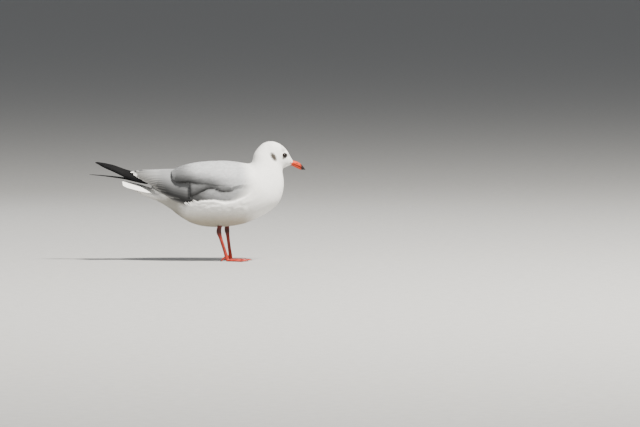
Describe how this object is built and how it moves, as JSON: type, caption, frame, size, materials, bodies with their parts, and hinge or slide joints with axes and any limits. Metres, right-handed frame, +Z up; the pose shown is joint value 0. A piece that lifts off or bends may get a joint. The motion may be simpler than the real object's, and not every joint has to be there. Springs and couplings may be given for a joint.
{
  "type": "seagull",
  "caption": "Life-size standing black-headed gull in winter plumage, in profile with folded wings, its head turned slightly to its left.",
  "frame": {"origin": "middle of the bounding box at floor level, under the soles", "axes": "+X the way the bird faces, +Y its left side, +Z up"},
  "size_m": [0.3836, 0.1026, 0.2132],
  "materials": {
    "white_plumage": "matte",
    "grey_plumage": "matte",
    "black_primaries": "satin",
    "bill_red": "satin",
    "leg_red": "satin",
    "eye_dark": "gloss",
    "tail_white": "matte"
  },
  "bodies": {
    "root": {"head": "white_plumage", "neck": "white_plumage", "trunk": "white_plumage", "tail": "tail_white", "wing_left": "grey_plumage", "wing_right": "grey_plumage", "tertials_left": "grey_plumage", "tertials_right": "grey_plumage", "primaries_left": "black_primaries", "primaries_right": "black_primaries", "leg_left": "leg_red", "leg_right": "leg_red", "foot_left": "leg_red", "foot_right": "leg_red", "bill_upper": "bill_red", "bill_lower": "bill_red", "eye_left": "eye_dark", "eye_right": "eye_dark"}
  },
  "joints": []
}
